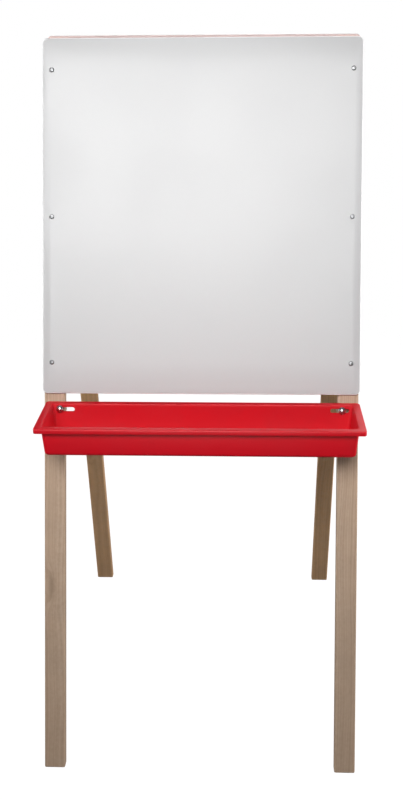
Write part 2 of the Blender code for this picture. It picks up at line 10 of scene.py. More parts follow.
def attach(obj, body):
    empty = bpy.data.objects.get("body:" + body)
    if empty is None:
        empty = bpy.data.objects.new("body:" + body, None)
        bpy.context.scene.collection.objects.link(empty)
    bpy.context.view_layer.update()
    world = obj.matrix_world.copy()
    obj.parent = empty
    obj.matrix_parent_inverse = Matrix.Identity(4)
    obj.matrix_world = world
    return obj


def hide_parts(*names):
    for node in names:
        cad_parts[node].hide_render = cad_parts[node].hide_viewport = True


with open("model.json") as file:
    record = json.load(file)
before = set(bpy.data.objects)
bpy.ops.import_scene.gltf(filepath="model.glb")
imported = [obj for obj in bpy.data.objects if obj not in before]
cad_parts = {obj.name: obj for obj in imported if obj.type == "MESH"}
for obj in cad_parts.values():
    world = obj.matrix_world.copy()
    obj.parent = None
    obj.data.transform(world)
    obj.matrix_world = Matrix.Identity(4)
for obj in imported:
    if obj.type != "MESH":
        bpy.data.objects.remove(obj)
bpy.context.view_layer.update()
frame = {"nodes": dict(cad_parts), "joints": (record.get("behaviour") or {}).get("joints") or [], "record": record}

print("easel frame loaded")

lean = math.radians(16.0)        # of each pair of legs
fit = 0.0003                     # a hole's radius over what goes through it
past = 0.01                      # how far a cutter reaches beyond what it cuts
touch = 0.0001                   # how close a corner must be to count as at a place

hinge = next(joint for joint in frame["joints"] if joint["name"] == "fold")
pinPoint = Matrix.Translation(hinge["pos_m"])
leanIn = Matrix.Rotation(-lean, 4, "X")
halfTurn = Matrix.Rotation(math.pi, 4, "Z")
faceOut = Matrix.Rotation(math.pi / 2, 4, "X")     # turns a model's Z to a pair's outer side
faceIn = Matrix.Rotation(-math.pi / 2, 4, "X")     # and to its inner side
alongX = Matrix.Rotation(math.pi / 2, 4, "Y")      # and along the hinge pins
# each pair's own axes: X along the hinge pins, Y towards the other pair, Z up the legs
places = {"front": pinPoint @ leanIn, "rear": pinPoint @ halfTurn @ leanIn}
world = Matrix.Identity(4)

bodyOf = {node: body for body, nodes in frame["record"]["behaviour"]["bodies"].items() for node in nodes}


def placeOf(node):
    return places["rear" if "rear" in node else "front"]


def eachCorner(pattern):
    # the names of a piece that both pairs of legs have on both sides
    return [pattern.format(end=end, side=side) for end in places for side in ("left", "right")]


def boxIn(node, place):
    # lowest and highest corner of a CAD node in the axes of a place
    back = place.inverted()
    points = [back @ vert.co for vert in frame["nodes"][node].data.vertices]
    low = Vector([min(point[axis] for point in points) for axis in range(3)])
    high = Vector([max(point[axis] for point in points) for axis in range(3)])
    return low, high


def deselectAll():
    if bpy.context.mode != "OBJECT":
        bpy.ops.object.mode_set(mode="OBJECT")
    bpy.ops.object.select_all(action="DESELECT")


def pick(kind, test):
    # in edit mode, select only the corners, edges or faces that pass a test
    obj = bpy.context.edit_object
    bpy.ops.mesh.select_mode(type=kind)
    bpy.ops.mesh.select_all(action="DESELECT")
    mesh = bmesh.from_edit_mesh(obj.data)
    items = {"VERT": mesh.verts, "EDGE": mesh.edges, "FACE": mesh.faces}[kind]
    for item in items:
        if test(item):
            item.select_set(True)
    bmesh.update_edit_mesh(obj.data)


def allVerts(item, test):
    return all(test(vert.co) for vert in item.verts)


def alongAxis(edge, axis):
    run = edge.verts[1].co - edge.verts[0].co
    return abs(run[axis]) > 0.99 * run.length


def addBlock(name, low, high):
    # a cube primitive stretched between two corners, with its place in its mesh
    deselectAll()
    bpy.ops.mesh.primitive_cube_add(size=1)
    block = bpy.context.active_object
    block.name = name
    block.data.name = name
    block.location = (low + high) / 2
    block.scale = high - low
    bpy.ops.object.transform_apply(location=True, rotation=True, scale=True)
    return block


def addTurned(name, outline, steps=32, closed=False):
    # an outline of (radius, height) points, drawn from one vertex and spun about Z
    deselectAll()
    bpy.ops.mesh.primitive_plane_add(size=0.001)
    piece = bpy.context.active_object
    piece.name = name
    piece.data.name = name
    bpy.ops.object.mode_set(mode="EDIT")
    bpy.ops.mesh.select_mode(type="VERT")
    bpy.ops.mesh.select_all(action="SELECT")
    bpy.ops.mesh.merge(type="CENTER")
    bpy.ops.transform.translate(value=(outline[0][0], 0, outline[0][1]))
    stops = list(outline[1:])
    if closed:
        stops.append(outline[0])
    last = outline[0]
    for stop in stops:
        move = (stop[0] - last[0], 0, stop[1] - last[1])
        bpy.ops.mesh.extrude_region_move(TRANSFORM_OT_translate={"value": move})
        last = stop
    bpy.ops.mesh.select_all(action="SELECT")
    bpy.ops.mesh.spin(steps=steps, angle=math.tau, center=(0, 0, 0), axis=(0, 0, 1))
    cleanUp()
    bpy.ops.object.mode_set(mode="OBJECT")
    return piece


def cleanUp():
    bpy.ops.mesh.select_all(action="SELECT")
    bpy.ops.mesh.remove_doubles(threshold=touch / 10)
    bpy.ops.mesh.normals_make_consistent(inside=False)


def activate(obj):
    deselectAll()
    obj.select_set(True)
    bpy.context.view_layer.objects.active = obj


def combine(piece, cutter, operation="DIFFERENCE"):
    cut = piece.modifiers.new("combine", "BOOLEAN")
    cut.operation = operation
    cut.solver = "EXACT"
    cut.object = cutter
    activate(piece)
    bpy.ops.object.modifier_apply(modifier=cut.name)
    bpy.data.objects.remove(cutter, do_unlink=True)


def drill(piece, radius, start, end, sides=24):
    start, end = Vector(start), Vector(end)
    deselectAll()
    bpy.ops.mesh.primitive_cylinder_add(vertices=sides, radius=radius, depth=(end - start).length)
    bit = bpy.context.active_object
    aim = (end - start).to_track_quat("Z", "Y").to_matrix().to_4x4()
    bit.data.transform(Matrix.Translation((start + end) / 2) @ aim)
    combine(piece, bit)


def drillThrough(piece, radius, spot, low, high):
    # from outside to inside, through what stands between two corners
    drill(piece, radius, (spot.x, low.y - past, spot.z), (spot.x, high.y + past, spot.z))


def smooth(piece, degrees=32):
    activate(piece)
    bpy.ops.object.shade_smooth_by_angle(angle=math.radians(degrees))


def easeEdges(piece, width, steps=2):
    # a small round on every sharp edge
    ease = piece.modifiers.new("ease", "BEVEL")
    ease.width = width
    ease.segments = steps
    ease.limit_method = "ANGLE"
    ease.angle_limit = math.radians(50)
    activate(piece)
    bpy.ops.object.modifier_apply(modifier=ease.name)


def pieceName(node):
    first, *others = node.split("_")
    return first + "".join(word.title() for word in others)


def settle(piece, node, place, materials):
    # the finished piece stands for its CAD node, with its place in its mesh
    piece.data.transform(place)
    piece.name = pieceName(node)
    piece.data.name = piece.name
    piece.data.materials.clear()
    for material in materials:
        piece.data.materials.append(material)
    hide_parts(node)
    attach(piece, bodyOf[node])


def seatOf(node, lift=0.0, farSide=False):
    # the middle of a node's outer side on its pair of legs, or of its far side
    low, high = boxIn(node, placeOf(node))
    height = high.y if farSide else low.y + lift
    return Matrix.Translation(((low.x + high.x) / 2, height, (low.z + high.z) / 2))


def copyOf(model, move):
    twin = model.copy()
    twin.data = model.data.copy()
    twin.data.transform(move)
    bpy.context.scene.collection.objects.link(twin)
    return twin


def put(tree, kind, inputs=None, **settings):
    node = tree.nodes.new("ShaderNode" + kind)
    for name, value in settings.items():
        setattr(node, name, value)
    for name, value in (inputs or {}).items():
        if isinstance(value, bpy.types.NodeSocket):
            tree.links.new(value, node.inputs[name])
        else:
            node.inputs[name].default_value = value
    return node


def calc(tree, operation, first, second=0.0, clamp=False):
    return put(tree, "Math", {0: first, 1: second}, operation=operation, use_clamp=clamp).outputs[0]


def mixColors(tree, factor, first, second):
    return put(tree, "Mix", {0: factor, 6: first, 7: second}, data_type="RGBA").outputs[2]


def span(tree, value, low, high, outLow=0.0, outHigh=1.0, curve="LINEAR"):
    inputs = {"Value": value, "From Min": low, "From Max": high, "To Min": outLow, "To Max": outHigh}
    return put(tree, "MapRange", inputs, interpolation_type=curve).outputs[0]


def vectorCalc(tree, operation, first, second=(0, 0, 0)):
    return put(tree, "VectorMath", {0: first, 1: second}, operation=operation).outputs


def stretch(tree, vector, factors):
    return vectorCalc(tree, "MULTIPLY", vector, factors)[0]


def bySize(tree, vector, size):
    # coordinates in which a feature of that size is one long
    frequency = calc(tree, "DIVIDE", 1.0, size)
    return put(tree, "VectorMath", {0: vector, "Scale": frequency}, operation="SCALE").outputs[0]


def noise(tree, vector, scale, detail=2.0, roughness=0.5):
    inputs = {"Vector": vector, "Scale": scale, "Detail": detail, "Roughness": roughness}
    return put(tree, "TexNoise", inputs).outputs["Fac"]


def newGroup(name, takes, gives):
    tree = bpy.data.node_groups.new(name, "ShaderNodeTree")
    for label, kind, value in takes:
        socket = tree.interface.new_socket(name=label, in_out="INPUT", socket_type="NodeSocket" + kind)
        socket.default_value = value
    for label, kind in gives:
        tree.interface.new_socket(name=label, in_out="OUTPUT", socket_type="NodeSocket" + kind)
    return tree, tree.nodes.new("NodeGroupInput").outputs, tree.nodes.new("NodeGroupOutput").inputs


def placeGroup(tree, group, inputs):
    return put(tree, "Group", inputs, node_tree=group).outputs


def newMaterial(name, place):
    # the shader, and object coordinates turned into the axes of a place
    material = bpy.data.materials.new(name)
    material.use_nodes = True
    tree = material.node_tree
    shader = tree.nodes["Principled BSDF"]
    back = place.inverted()
    texture = put(tree, "TexCoord")
    mapping = put(tree, "Mapping", {
        "Vector": texture.outputs["Object"],
        "Location": back.to_translation(),
        "Rotation": back.to_euler(),
    })
    return material, tree, shader, mapping.outputs[0]


def feed(tree, shader, color=None, roughness=None, height=None, strength=0.2, distance=0.001):
    if color is not None:
        tree.links.new(color, shader.inputs["Base Color"])
    if roughness is not None:
        tree.links.new(roughness, shader.inputs["Roughness"])
    if height is not None:
        bump = put(tree, "Bump", {"Height": height, "Strength": strength, "Distance": distance})
        tree.links.new(bump.outputs[0], shader.inputs["Normal"])


def buildGrain():
    # solid hardwood: rings round a pith beside the bar, long fibres, short pores and a knot
    ringsPerMetre = 330.0
    ringShare, fibreShare, patchShare, lighten = 0.46, 0.42, 0.30, 0.22
    poreDepth, poreColor = 0.30, (0.16, 0.10, 0.055, 1)
    knotDepth, knotColor = 0.55, (0.17, 0.10, 0.05, 1)
    tree, takes, gives = newGroup(
        "hardwood grain",
        [
            ("Vector", "Vector", (0, 0, 0)),
            ("Seed", "Float", 0.0),
            ("Pale", "Color", (0.5, 0.4, 0.28, 1)),
            ("Dark", "Color", (0.3, 0.22, 0.14, 1)),
            ("Pith", "Vector", (0.05, 0.06, 0)),
            ("Knot", "Vector", (0, 0, 9)),
            ("Knot Size", "Float", 0.03),
        ],
        [("Color", "Color"), ("Roughness", "Float"), ("Height", "Float")],
    )
    seedShift = put(tree, "CombineXYZ", {
        "X": calc(tree, "MULTIPLY", takes["Seed"], 1.37),
        "Y": calc(tree, "MULTIPLY", takes["Seed"], 2.91),
        "Z": calc(tree, "MULTIPLY", takes["Seed"], 7.13),
    }).outputs[0]
    spot = vectorCalc(tree, "ADD", takes["Vector"], seedShift)[0]

    # the rings wander slowly along the bar and bend round the knot
    wander = noise(tree, stretch(tree, spot, (9, 9, 2.2)), 1.0, 2.0)
    wander = calc(tree, "MULTIPLY", calc(tree, "SUBTRACT", wander, 0.5), 0.030)
    toKnot = vectorCalc(tree, "SUBTRACT", takes["Vector"], takes["Knot"])[0]
    toKnot = stretch(tree, toKnot, (1.0, 1.0, 0.24))
    away = calc(tree, "DIVIDE", vectorCalc(tree, "LENGTH", toKnot)["Value"], takes["Knot Size"])
    inKnot = span(tree, away, 0.0, 1.0, 1.0, 0.0, "SMOOTHERSTEP")
    fromPith = vectorCalc(tree, "SUBTRACT", takes["Vector"], takes["Pith"])[0]
    fromPith = stretch(tree, fromPith, (1.0, 1.0, 0.012))
    radius = calc(tree, "ADD", vectorCalc(tree, "LENGTH", fromPith)["Value"], wander)
    radius = calc(tree, "ADD", radius, calc(tree, "MULTIPLY", inKnot, 0.012))
    rings = put(tree, "TexNoise", {
        "W": calc(tree, "ADD", calc(tree, "MULTIPLY", radius, ringsPerMetre), takes["Seed"]),
        "Scale": 1.0, "Detail": 2.0, "Roughness": 0.55,
    }, noise_dimensions="1D").outputs["Fac"]
    rings = span(tree, rings, 0.36, 0.66)

    fibres = noise(tree, stretch(tree, spot, (420, 420, 7)), 1.0, 3.0, 0.6)
    pores = noise(tree, stretch(tree, spot, (1500, 1500, 60)), 1.0, 1.0)
    pores = span(tree, pores, 0.60, 0.74)
    patches = noise(tree, stretch(tree, spot, (14, 14, 3.0)), 1.0, 2.0)

    mixed = calc(tree, "MULTIPLY", rings, ringShare)
    mixed = calc(tree, "ADD", mixed, calc(tree, "MULTIPLY", fibres, fibreShare))
    mixed = calc(tree, "ADD", mixed, calc(tree, "MULTIPLY", patches, patchShare))
    mixed = calc(tree, "SUBTRACT", mixed, lighten, clamp=True)
    color = mixColors(tree, mixed, takes["Pale"], takes["Dark"])
    color = mixColors(tree, calc(tree, "MULTIPLY", pores, poreDepth), color, poreColor)
    knotShade = calc(tree, "MULTIPLY", calc(tree, "POWER", inKnot, 2.5), knotDepth)
    color = mixColors(tree, knotShade, color, knotColor)
    tree.links.new(color, gives["Color"])
    rough = span(tree, fibres, 0.2, 0.8, 0.52, 0.68)
    tree.links.new(rough, gives["Roughness"])
    height = calc(tree, "SUBTRACT", fibres, calc(tree, "MULTIPLY", pores, 0.7))
    tree.links.new(height, gives["Height"])
    return tree


def buildMarks():
    # where hands and cloths have been: soft blotches with fine rubbed lines in them
    tree, takes, gives = newGroup(
        "handling marks",
        [("Vector", "Vector", (0, 0, 0)), ("Size", "Float", 0.1), ("Lines", "Float", 0.5)],
        [("Blotches", "Float"), ("Rubbing", "Float")],
    )
    scaled = bySize(tree, takes["Vector"], takes["Size"])
    blotches = noise(tree, scaled, 1.0, 4.0, 0.55)
    blotches = span(tree, blotches, 0.42, 0.68)
    tilted = put(tree, "VectorRotate", {"Vector": scaled, "Angle": 0.7}, rotation_type="Y_AXIS").outputs[0]
    lines = noise(tree, stretch(tree, tilted, (1.2, 40, 55)), 1.0, 3.0, 0.6)
    lines = calc(tree, "MULTIPLY", span(tree, lines, 0.56, 0.72), takes["Lines"])
    tree.links.new(blotches, gives["Blotches"])
    tree.links.new(calc(tree, "MULTIPLY", lines, blotches), gives["Rubbing"])
    return tree


def buildEdgeWear():
    # 1 on worn outer edges, broken up by a noise
    tree, takes, gives = newGroup(
        "edge wear",
        [("Vector", "Vector", (0, 0, 0)), ("Amount", "Float", 0.5), ("Size", "Float", 0.004)],
        [("Mask", "Float")],
    )
    edges = span(tree, put(tree, "NewGeometry").outputs["Pointiness"], 0.53, 0.62)
    scaled = bySize(tree, takes["Vector"], takes["Size"])
    broken = span(tree, noise(tree, scaled, 1.0, 3.0), 0.40, 0.62)
    worn = calc(tree, "MULTIPLY", calc(tree, "MULTIPLY", edges, broken), takes["Amount"])
    tree.links.new(worn, gives["Mask"])
    return tree


def buildSkin():
    # the fine uneven skin of moulded or coated surfaces
    tree, takes, gives = newGroup(
        "fine skin",
        [("Vector", "Vector", (0, 0, 0)), ("Size", "Float", 0.001)],
        [("Height", "Float")],
    )
    scaled = bySize(tree, takes["Vector"], takes["Size"])
    tree.links.new(noise(tree, scaled, 1.0, 3.0, 0.55), gives["Height"])
    return tree


grainGroup = buildGrain()
marksGroup = buildMarks()
wearGroup = buildEdgeWear()
skinGroup = buildSkin()
print("shared effects built")


wood = {
    "pale": (0.60, 0.43, 0.305, 1),
    "dark": (0.40, 0.262, 0.166, 1),
    "rearPale": (0.88, 0.51, 0.25, 1),   # the rear legs' copy of the same wood, painted yellower and brighter for the warm bounce light on them
    "rearDark": (0.60, 0.33, 0.145, 1),
    "worn": (0.62, 0.48, 0.36, 1),
    # one tone for the painted shade at the foot and for the dirt in the blotches
    "soiled": (0.28, 0.20, 0.14, 1),
    "footSoil": 0.42,             # painted shade at the foot, for light falling off towards the floor, and dirt in the blotches all over
    "blotchSoil": 0.10,
    "soilEnd": -0.45,             # where along the leg the painted shade at the foot is full
    "wear": 0.5,
    "lacquer": 0.08,
}


def makeHardwood(node, place, seed, pith, knot, knotSize):
    material, tree, shader, vector = newMaterial(pieceName(node) + "Wood", place)
    grain = placeGroup(tree, grainGroup, {
        "Vector": vector,
        "Seed": seed,
        # the rear legs take the copy of the wood's tones with painted light
        "Pale": wood["rearPale" if "rear" in node else "pale"],
        "Dark": wood["rearDark" if "rear" in node else "dark"],
        "Pith": pith,
        "Knot": knot,
        "Knot Size": knotSize,
    })
    # painted shade, darker towards the foot where less light falls, and dirt in blotches all over
    alongLeg = put(tree, "SeparateXYZ", {"Vector": vector}).outputs["Z"]
    footSoil = calc(tree, "MULTIPLY", span(tree, alongLeg, 0.0, wood["soilEnd"]), wood["footSoil"])
    marks = placeGroup(tree, marksGroup, {"Vector": vector, "Size": 0.06, "Lines": 0.6})
    shadeAndDirt = calc(tree, "ADD", footSoil, calc(tree, "MULTIPLY", marks["Blotches"], wood["blotchSoil"]))
    color = mixColors(tree, shadeAndDirt, grain["Color"], wood["soiled"])
    wear = placeGroup(tree, wearGroup, {"Vector": vector, "Amount": wood["wear"], "Size": 0.006})
    color = mixColors(tree, wear["Mask"], color, wood["worn"])
    rough = calc(tree, "SUBTRACT", grain["Roughness"], calc(tree, "MULTIPLY", marks["Blotches"], 0.08))
    feed(tree, shader, color, rough, grain["Height"], 0.25, 0.0006)
    shader.inputs["Coat Weight"].default_value = wood["lacquer"]
    shader.inputs["Coat Roughness"].default_value = 0.35
    return material


white = {
    "face": (0.56, 0.56, 0.565, 1),
    "smudge": (0.50, 0.505, 0.52, 1),
    # painted highlight: a paler tone for the eased edge round the white face
    "edge": (0.88, 0.87, 0.88, 1),
    # the same hardboard in two tones: darker on the front board as painted shade on its core edges, paler on the
    # rear board as painted light on its top edge
    "frontCore": ((0.20, 0.105, 0.075, 1), (0.095, 0.045, 0.030, 1)),
    "rearCore": ((0.90, 0.74, 0.72, 1), (0.68, 0.50, 0.49, 1)),
    "roughness": 0.32,
    "dulled": 0.14,               # how much rougher the most handled spots are
    "smears": 0.06,
    "rubbed": 0.12,
    "weave": 2100.0,              # pitch of the screen's print on the back
}


def makeBoardFace(name, place, tone):
    material, tree, shader, vector = newMaterial(name, place)
    marks = placeGroup(tree, marksGroup, {"Vector": vector, "Size": 0.16, "Lines": 0.9})
    small = placeGroup(tree, marksGroup, {"Vector": vector, "Size": 0.035, "Lines": 0.8})
    smudge = calc(tree, "MULTIPLY", marks["Blotches"], white["smears"])
    smudge = calc(tree, "ADD", smudge, calc(tree, "MULTIPLY", small["Rubbing"], white["rubbed"]))
    color = mixColors(tree, smudge, tone, white["smudge"])
    dull = calc(tree, "MULTIPLY", marks["Blotches"], white["dulled"] * 0.25)
    dull = calc(tree, "ADD", dull, calc(tree, "MULTIPLY", marks["Rubbing"], white["dulled"] * 0.8))
    dull = calc(tree, "ADD", dull, white["roughness"])
    skin = placeGroup(tree, skinGroup, {"Vector": vector, "Size": 0.0035})
    feed(tree, shader, color, dull, skin["Height"], 0.12, 0.0004)
    return material


def makeHardboard(name, place, core):
    # pressed wood fibre, with the screen's print on the back
    material, tree, shader, vector = newMaterial(name, place)
    fibres = noise(tree, stretch(tree, vector, (900, 900, 900)), 1.0, 4.0, 0.65)
    clouds = noise(tree, stretch(tree, vector, (22, 22, 22)), 1.0, 3.0)
    mixed = calc(tree, "ADD", calc(tree, "MULTIPLY", fibres, 0.7), calc(tree, "MULTIPLY", clouds, 0.35))
    color = mixColors(tree, calc(tree, "SUBTRACT", mixed, 0.1, clamp=True), *core)
    axes = put(tree, "SeparateXYZ", {"Vector": vector}).outputs
    weave = calc(tree, "ADD", *[
        calc(tree, "ABSOLUTE", calc(tree, "SINE", calc(tree, "MULTIPLY", axes[axis], white["weave"])))
        for axis in ("X", "Z")
    ])
    height = calc(tree, "ADD", calc(tree, "MULTIPLY", weave, 0.5), fibres)
    rough = span(tree, fibres, 0.2, 0.8, 0.70, 0.88)
    feed(tree, shader, color, rough, height, 0.45, 0.0005)
    return material


red = {
    "plastic": (0.66, 0.0, 0.010, 1),
    "scuffed": (0.62, 0.020, 0.035, 1),
    "stained": (0.54, 0.0, 0.008, 1),
    "staining": 0.25,
    "scuffing": 0.35,
    "roughness": 0.42,
}


def makeRedPlastic(name, place):
    material, tree, shader, vector = newMaterial(name, place)
    marks = placeGroup(tree, marksGroup, {"Vector": vector, "Size": 0.07, "Lines": 0.8})
    stains = calc(tree, "MULTIPLY", marks["Blotches"], red["staining"])
    scuffs = calc(tree, "MULTIPLY", marks["Rubbing"], red["scuffing"])
    color = mixColors(tree, stains, red["plastic"], red["stained"])
    color = mixColors(tree, scuffs, color, red["scuffed"])
    wear = placeGroup(tree, wearGroup, {"Vector": vector, "Amount": red["scuffing"], "Size": 0.005})
    color = mixColors(tree, wear["Mask"], color, red["scuffed"])
    rough = calc(tree, "ADD", red["roughness"], calc(tree, "MULTIPLY", marks["Blotches"], 0.06))
    rough = calc(tree, "ADD", rough, calc(tree, "MULTIPLY", marks["Rubbing"], 0.08))
    skin = placeGroup(tree, skinGroup, {"Vector": vector, "Size": 0.0011})
    feed(tree, shader, color, rough, skin["Height"], 0.10, 0.0003)
    return material


metal = {
    "zinc": (0.66, 0.67, 0.68, 1),
    "zincDull": (0.44, 0.45, 0.46, 1),
    "steel": (0.52, 0.51, 0.49, 1),
    "steelDull": (0.30, 0.29, 0.275, 1),
    # painted shade: near black for the screws' cross recesses
    "recess": (0.012, 0.012, 0.012, 1),
    "screw": (0.34, 0.345, 0.35, 1),
    "screwDull": (0.20, 0.205, 0.21, 1),
    "tarnish": 0.55,
    "wear": 0.6,
}


def makeMetal(name, bright, dull, roughness):
    material, tree, shader, vector = newMaterial(name, world)
    marks = placeGroup(tree, marksGroup, {"Vector": vector, "Size": 0.012, "Lines": 1.0})
    color = mixColors(tree, calc(tree, "MULTIPLY", marks["Blotches"], metal["tarnish"]), bright, dull)
    wear = placeGroup(tree, wearGroup, {"Vector": vector, "Amount": metal["wear"], "Size": 0.002})
    color = mixColors(tree, wear["Mask"], color, bright)
    rough = calc(tree, "ADD", roughness, calc(tree, "MULTIPLY", marks["Blotches"], 0.14))
    rough = calc(tree, "ADD", rough, calc(tree, "MULTIPLY", marks["Rubbing"], 0.2))
    skin = placeGroup(tree, skinGroup, {"Vector": vector, "Size": 0.0006})
    feed(tree, shader, color, rough, skin["Height"], 0.12, 0.0002)
    shader.inputs["Metallic"].default_value = 1.0
    return material


zincPlate = makeMetal("zincPlate", metal["zinc"], metal["zincDull"], 0.20)
screwZinc = makeMetal("screwZinc", metal["screw"], metal["screwDull"], 0.38)
plainSteel = makeMetal("plainSteel", metal["steel"], metal["steelDull"], 0.32)
recessDark = makeMetal("recessDark", metal["recess"], metal["recess"], 0.55)
hardboards = {end: makeHardboard(end + "Hardboard", places[end], white[end + "Core"]) for end in places}
boardFaces = {end: makeBoardFace(end + "BoardFace", places[end], white["face"]) for end in places}
boardEdgeHighlights = {end: makeBoardFace(end + "BoardEdge", places[end], white["edge"]) for end in places}
print("materials built")


viewpoint = {
    "place": (0.0877, -2.2197, 1.3565),
    "pitch": math.radians(18.21),
    "yaw": math.radians(-2.45),
    "roll": math.radians(0.41),
    "lens": 49.5,
}

bpy.ops.object.camera_add(location=viewpoint["place"])
camera = bpy.context.active_object
camera.name = "viewCamera"
camera.matrix_world = (
    Matrix.Translation(viewpoint["place"])
    @ Matrix.Rotation(-viewpoint["yaw"], 4, "Z")
    @ Matrix.Rotation(math.pi / 2 - viewpoint["pitch"], 4, "X")
    @ Matrix.Rotation(-viewpoint["roll"], 4, "Z")
)
camera.data.sensor_width = 36.0
camera.data.lens = viewpoint["lens"]
bpy.context.scene.camera = camera

softboxes = {
    # place, aimed at, width, height, watts, spread of the beam
    "keySoftbox": ((-0.35, -3.1, 2.70), (-0.05, -0.2, 1.12), 2.4, 1.5, 19.5, 65),
    "lowSoftbox": ((0.0, -3.2, 0.22), (0.0, -0.2, 0.50), 0.6, 0.3, 1.5, 70),
    "topSoftbox": ((-0.1, -0.3, 3.2), (0.0, -0.25, 0.6), 2.2, 1.2, 3.0, 180),
    "backSoftbox": ((0.4, 2.5, 3.1), (0.0, 0.2, 0.8), 1.8, 1.0, 46.0, 180),
    "rightSoftbox": ((3.0, 0.3, 1.2), (0.0, 0.0, 0.6), 1.2, 1.2, 95.0, 180),
    "leftSoftbox": ((-3.0, 0.3, 1.2), (0.0, 0.0, 0.6), 1.2, 1.2, 50.0, 180),
}
for name, (spot, target, width, height, watts, spread) in softboxes.items():
    bpy.ops.object.light_add(type="AREA", location=spot)
    lamp = bpy.context.active_object
    lamp.name = name
    lamp.rotation_euler = (Vector(target) - Vector(spot)).to_track_quat("-Z", "Y").to_euler()
    lamp.data.shape = "RECTANGLE"
    lamp.data.size = width
    lamp.data.size_y = height
    lamp.data.energy = watts
    lamp.data.spread = math.radians(spread)

studio = {
    "skyStrength": 0.05,
    "floorTone": (0.06, 0.06, 0.06, 1),
    "floorDark": (0.04, 0.04, 0.04, 1),
    "floorGlow": 1.0,             # evens out the floor that the camera sees
    "floorSize": 9.0,
    "floorFade": (1.1, 3.2),       # from where to where the floor melts into the white behind it
}
sky = bpy.data.worlds.new("studio")
bpy.context.scene.world = sky
sky.use_nodes = True
skyTree = sky.node_tree
skyLight = skyTree.nodes["Background"]
skyLight.inputs["Color"].default_value = (1, 1, 1, 1)
skyLight.inputs["Strength"].default_value = studio["skyStrength"]
whiteBehind = put(skyTree, "Background", {"Color": (1, 1, 1, 1), "Strength": 1.0})
seen = put(skyTree, "LightPath").outputs["Is Camera Ray"]
both = put(skyTree, "MixShader", {0: seen, 1: skyLight.outputs[0], 2: whiteBehind.outputs[0]})
skyTree.links.new(both.outputs[0], skyTree.nodes["World Output"].inputs["Surface"])
bpy.context.scene.view_settings.view_transform = "Standard"

deselectAll()
bpy.ops.mesh.primitive_plane_add(size=studio["floorSize"], location=(0, 0, 0))
floor = bpy.context.active_object
floor.name = "studioFloor"
floorPaper, floorTree, floorShader, floorVector = newMaterial("floorPaper", world)
floorGrain = calc(floorTree, "MULTIPLY", noise(floorTree, floorVector, 60.0, 3.0), 0.06)
feed(floorTree, floorShader, mixColors(floorTree, floorGrain, studio["floorTone"], studio["floorDark"]))
floorShader.inputs["Roughness"].default_value = 0.9
floorShader.inputs["Specular IOR Level"].default_value = 0.1
fromMiddle = vectorCalc(floorTree, "LENGTH", floorVector)["Value"]
fade = span(floorTree, fromMiddle, *studio["floorFade"], 1.0, 0.0, "SMOOTHSTEP")
floorTree.links.new(fade, floorShader.inputs["Alpha"])
floorSeen = put(floorTree, "LightPath").outputs["Is Camera Ray"]
floorShader.inputs["Emission Color"].default_value = (1, 1, 1, 1)
glow = calc(floorTree, "MULTIPLY", floorSeen, studio["floorGlow"])
floorTree.links.new(glow, floorShader.inputs["Emission Strength"])
floor.data.materials.append(floorPaper)
print("camera, light and floor placed")


leg = {
    "round": 0.0028,
    "roundSteps": 4,
    "boltHole": 0.0034,
    "spare": 0.02,                # length below the foot, cut off along the floor
    "grainMiddle": -0.68,         # how far down the leg its grain pattern is centred, and where the painted shade towards the foot begins
}
legWood = {
    # seed, pith beside the bar, knot in the bar's own axes, its size (a knot at 9 m is none)
    "front_leg_left": (3.1, (0.055, 0.050, 0.0), (-0.006, -0.0095, -0.374), 0.017),
    "front_leg_right": (8.7, (-0.080, 0.035, 0.0), (0, 0, 9), 0.03),
    "rear_leg_left": (5.2, (0.030, 0.070, 0.0), (0.012, 0.0095, -0.30), 0.018),
    "rear_leg_right": (12.4, (-0.060, -0.055, 0.0), (0, 0, 9), 0.03),
}


def makeLeg(node):
    place = placeOf(node)
    low, high = boxIn(node, place)
    bar = addBlock(node, low - Vector((0, 0, leg["spare"])), high)
    back = place.inverted()
    floorPoint = back @ Vector((0, 0, 0))
    floorUp = back.to_3x3() @ Vector((0, 0, 1))
    bpy.ops.object.mode_set(mode="EDIT")
    bpy.ops.mesh.select_all(action="SELECT")
    bpy.ops.mesh.bisect(plane_co=floorPoint, plane_no=floorUp, use_fill=True, clear_inner=True)
    bpy.ops.mesh.select_all(action="SELECT")
    bpy.ops.mesh.bevel(offset=leg["round"], segments=leg["roundSteps"], affect="EDGES")
    cleanUp()
    bpy.ops.object.mode_set(mode="OBJECT")
    boltLow, boltHigh = boxIn(node.replace("_leg_", "_tray_bolt_"), place)
    drillThrough(bar, leg["boltHole"], (boltLow + boltHigh) / 2, low, high)
    smooth(bar, 30)
    middle = (low + high) / 2
    middle.z = leg["grainMiddle"]
    finish = makeHardwood(node, place @ Matrix.Translation(middle), *legWood[node])
    settle(bar, node, place, [finish])


for node in legWood:
    makeLeg(node)
print("legs made")


board = {
    "corner": 0.010,
    "cornerSteps": 8,
    "easedFront": 0.0016,
    "easedBack": 0.0005,
    "skin": 0.0018,               # how far the white coat reaches down the edge
    "flat": 0.00005,              # what is deeper than this belongs to the edge
    "screwHole": 0.0022,
}


def boardScrewNodes(end):
    return [
        f"{end}_board_screw_{row}_{side}"
        for row in ("top", "middle", "bottom")
        for side in ("left", "right")
    ]


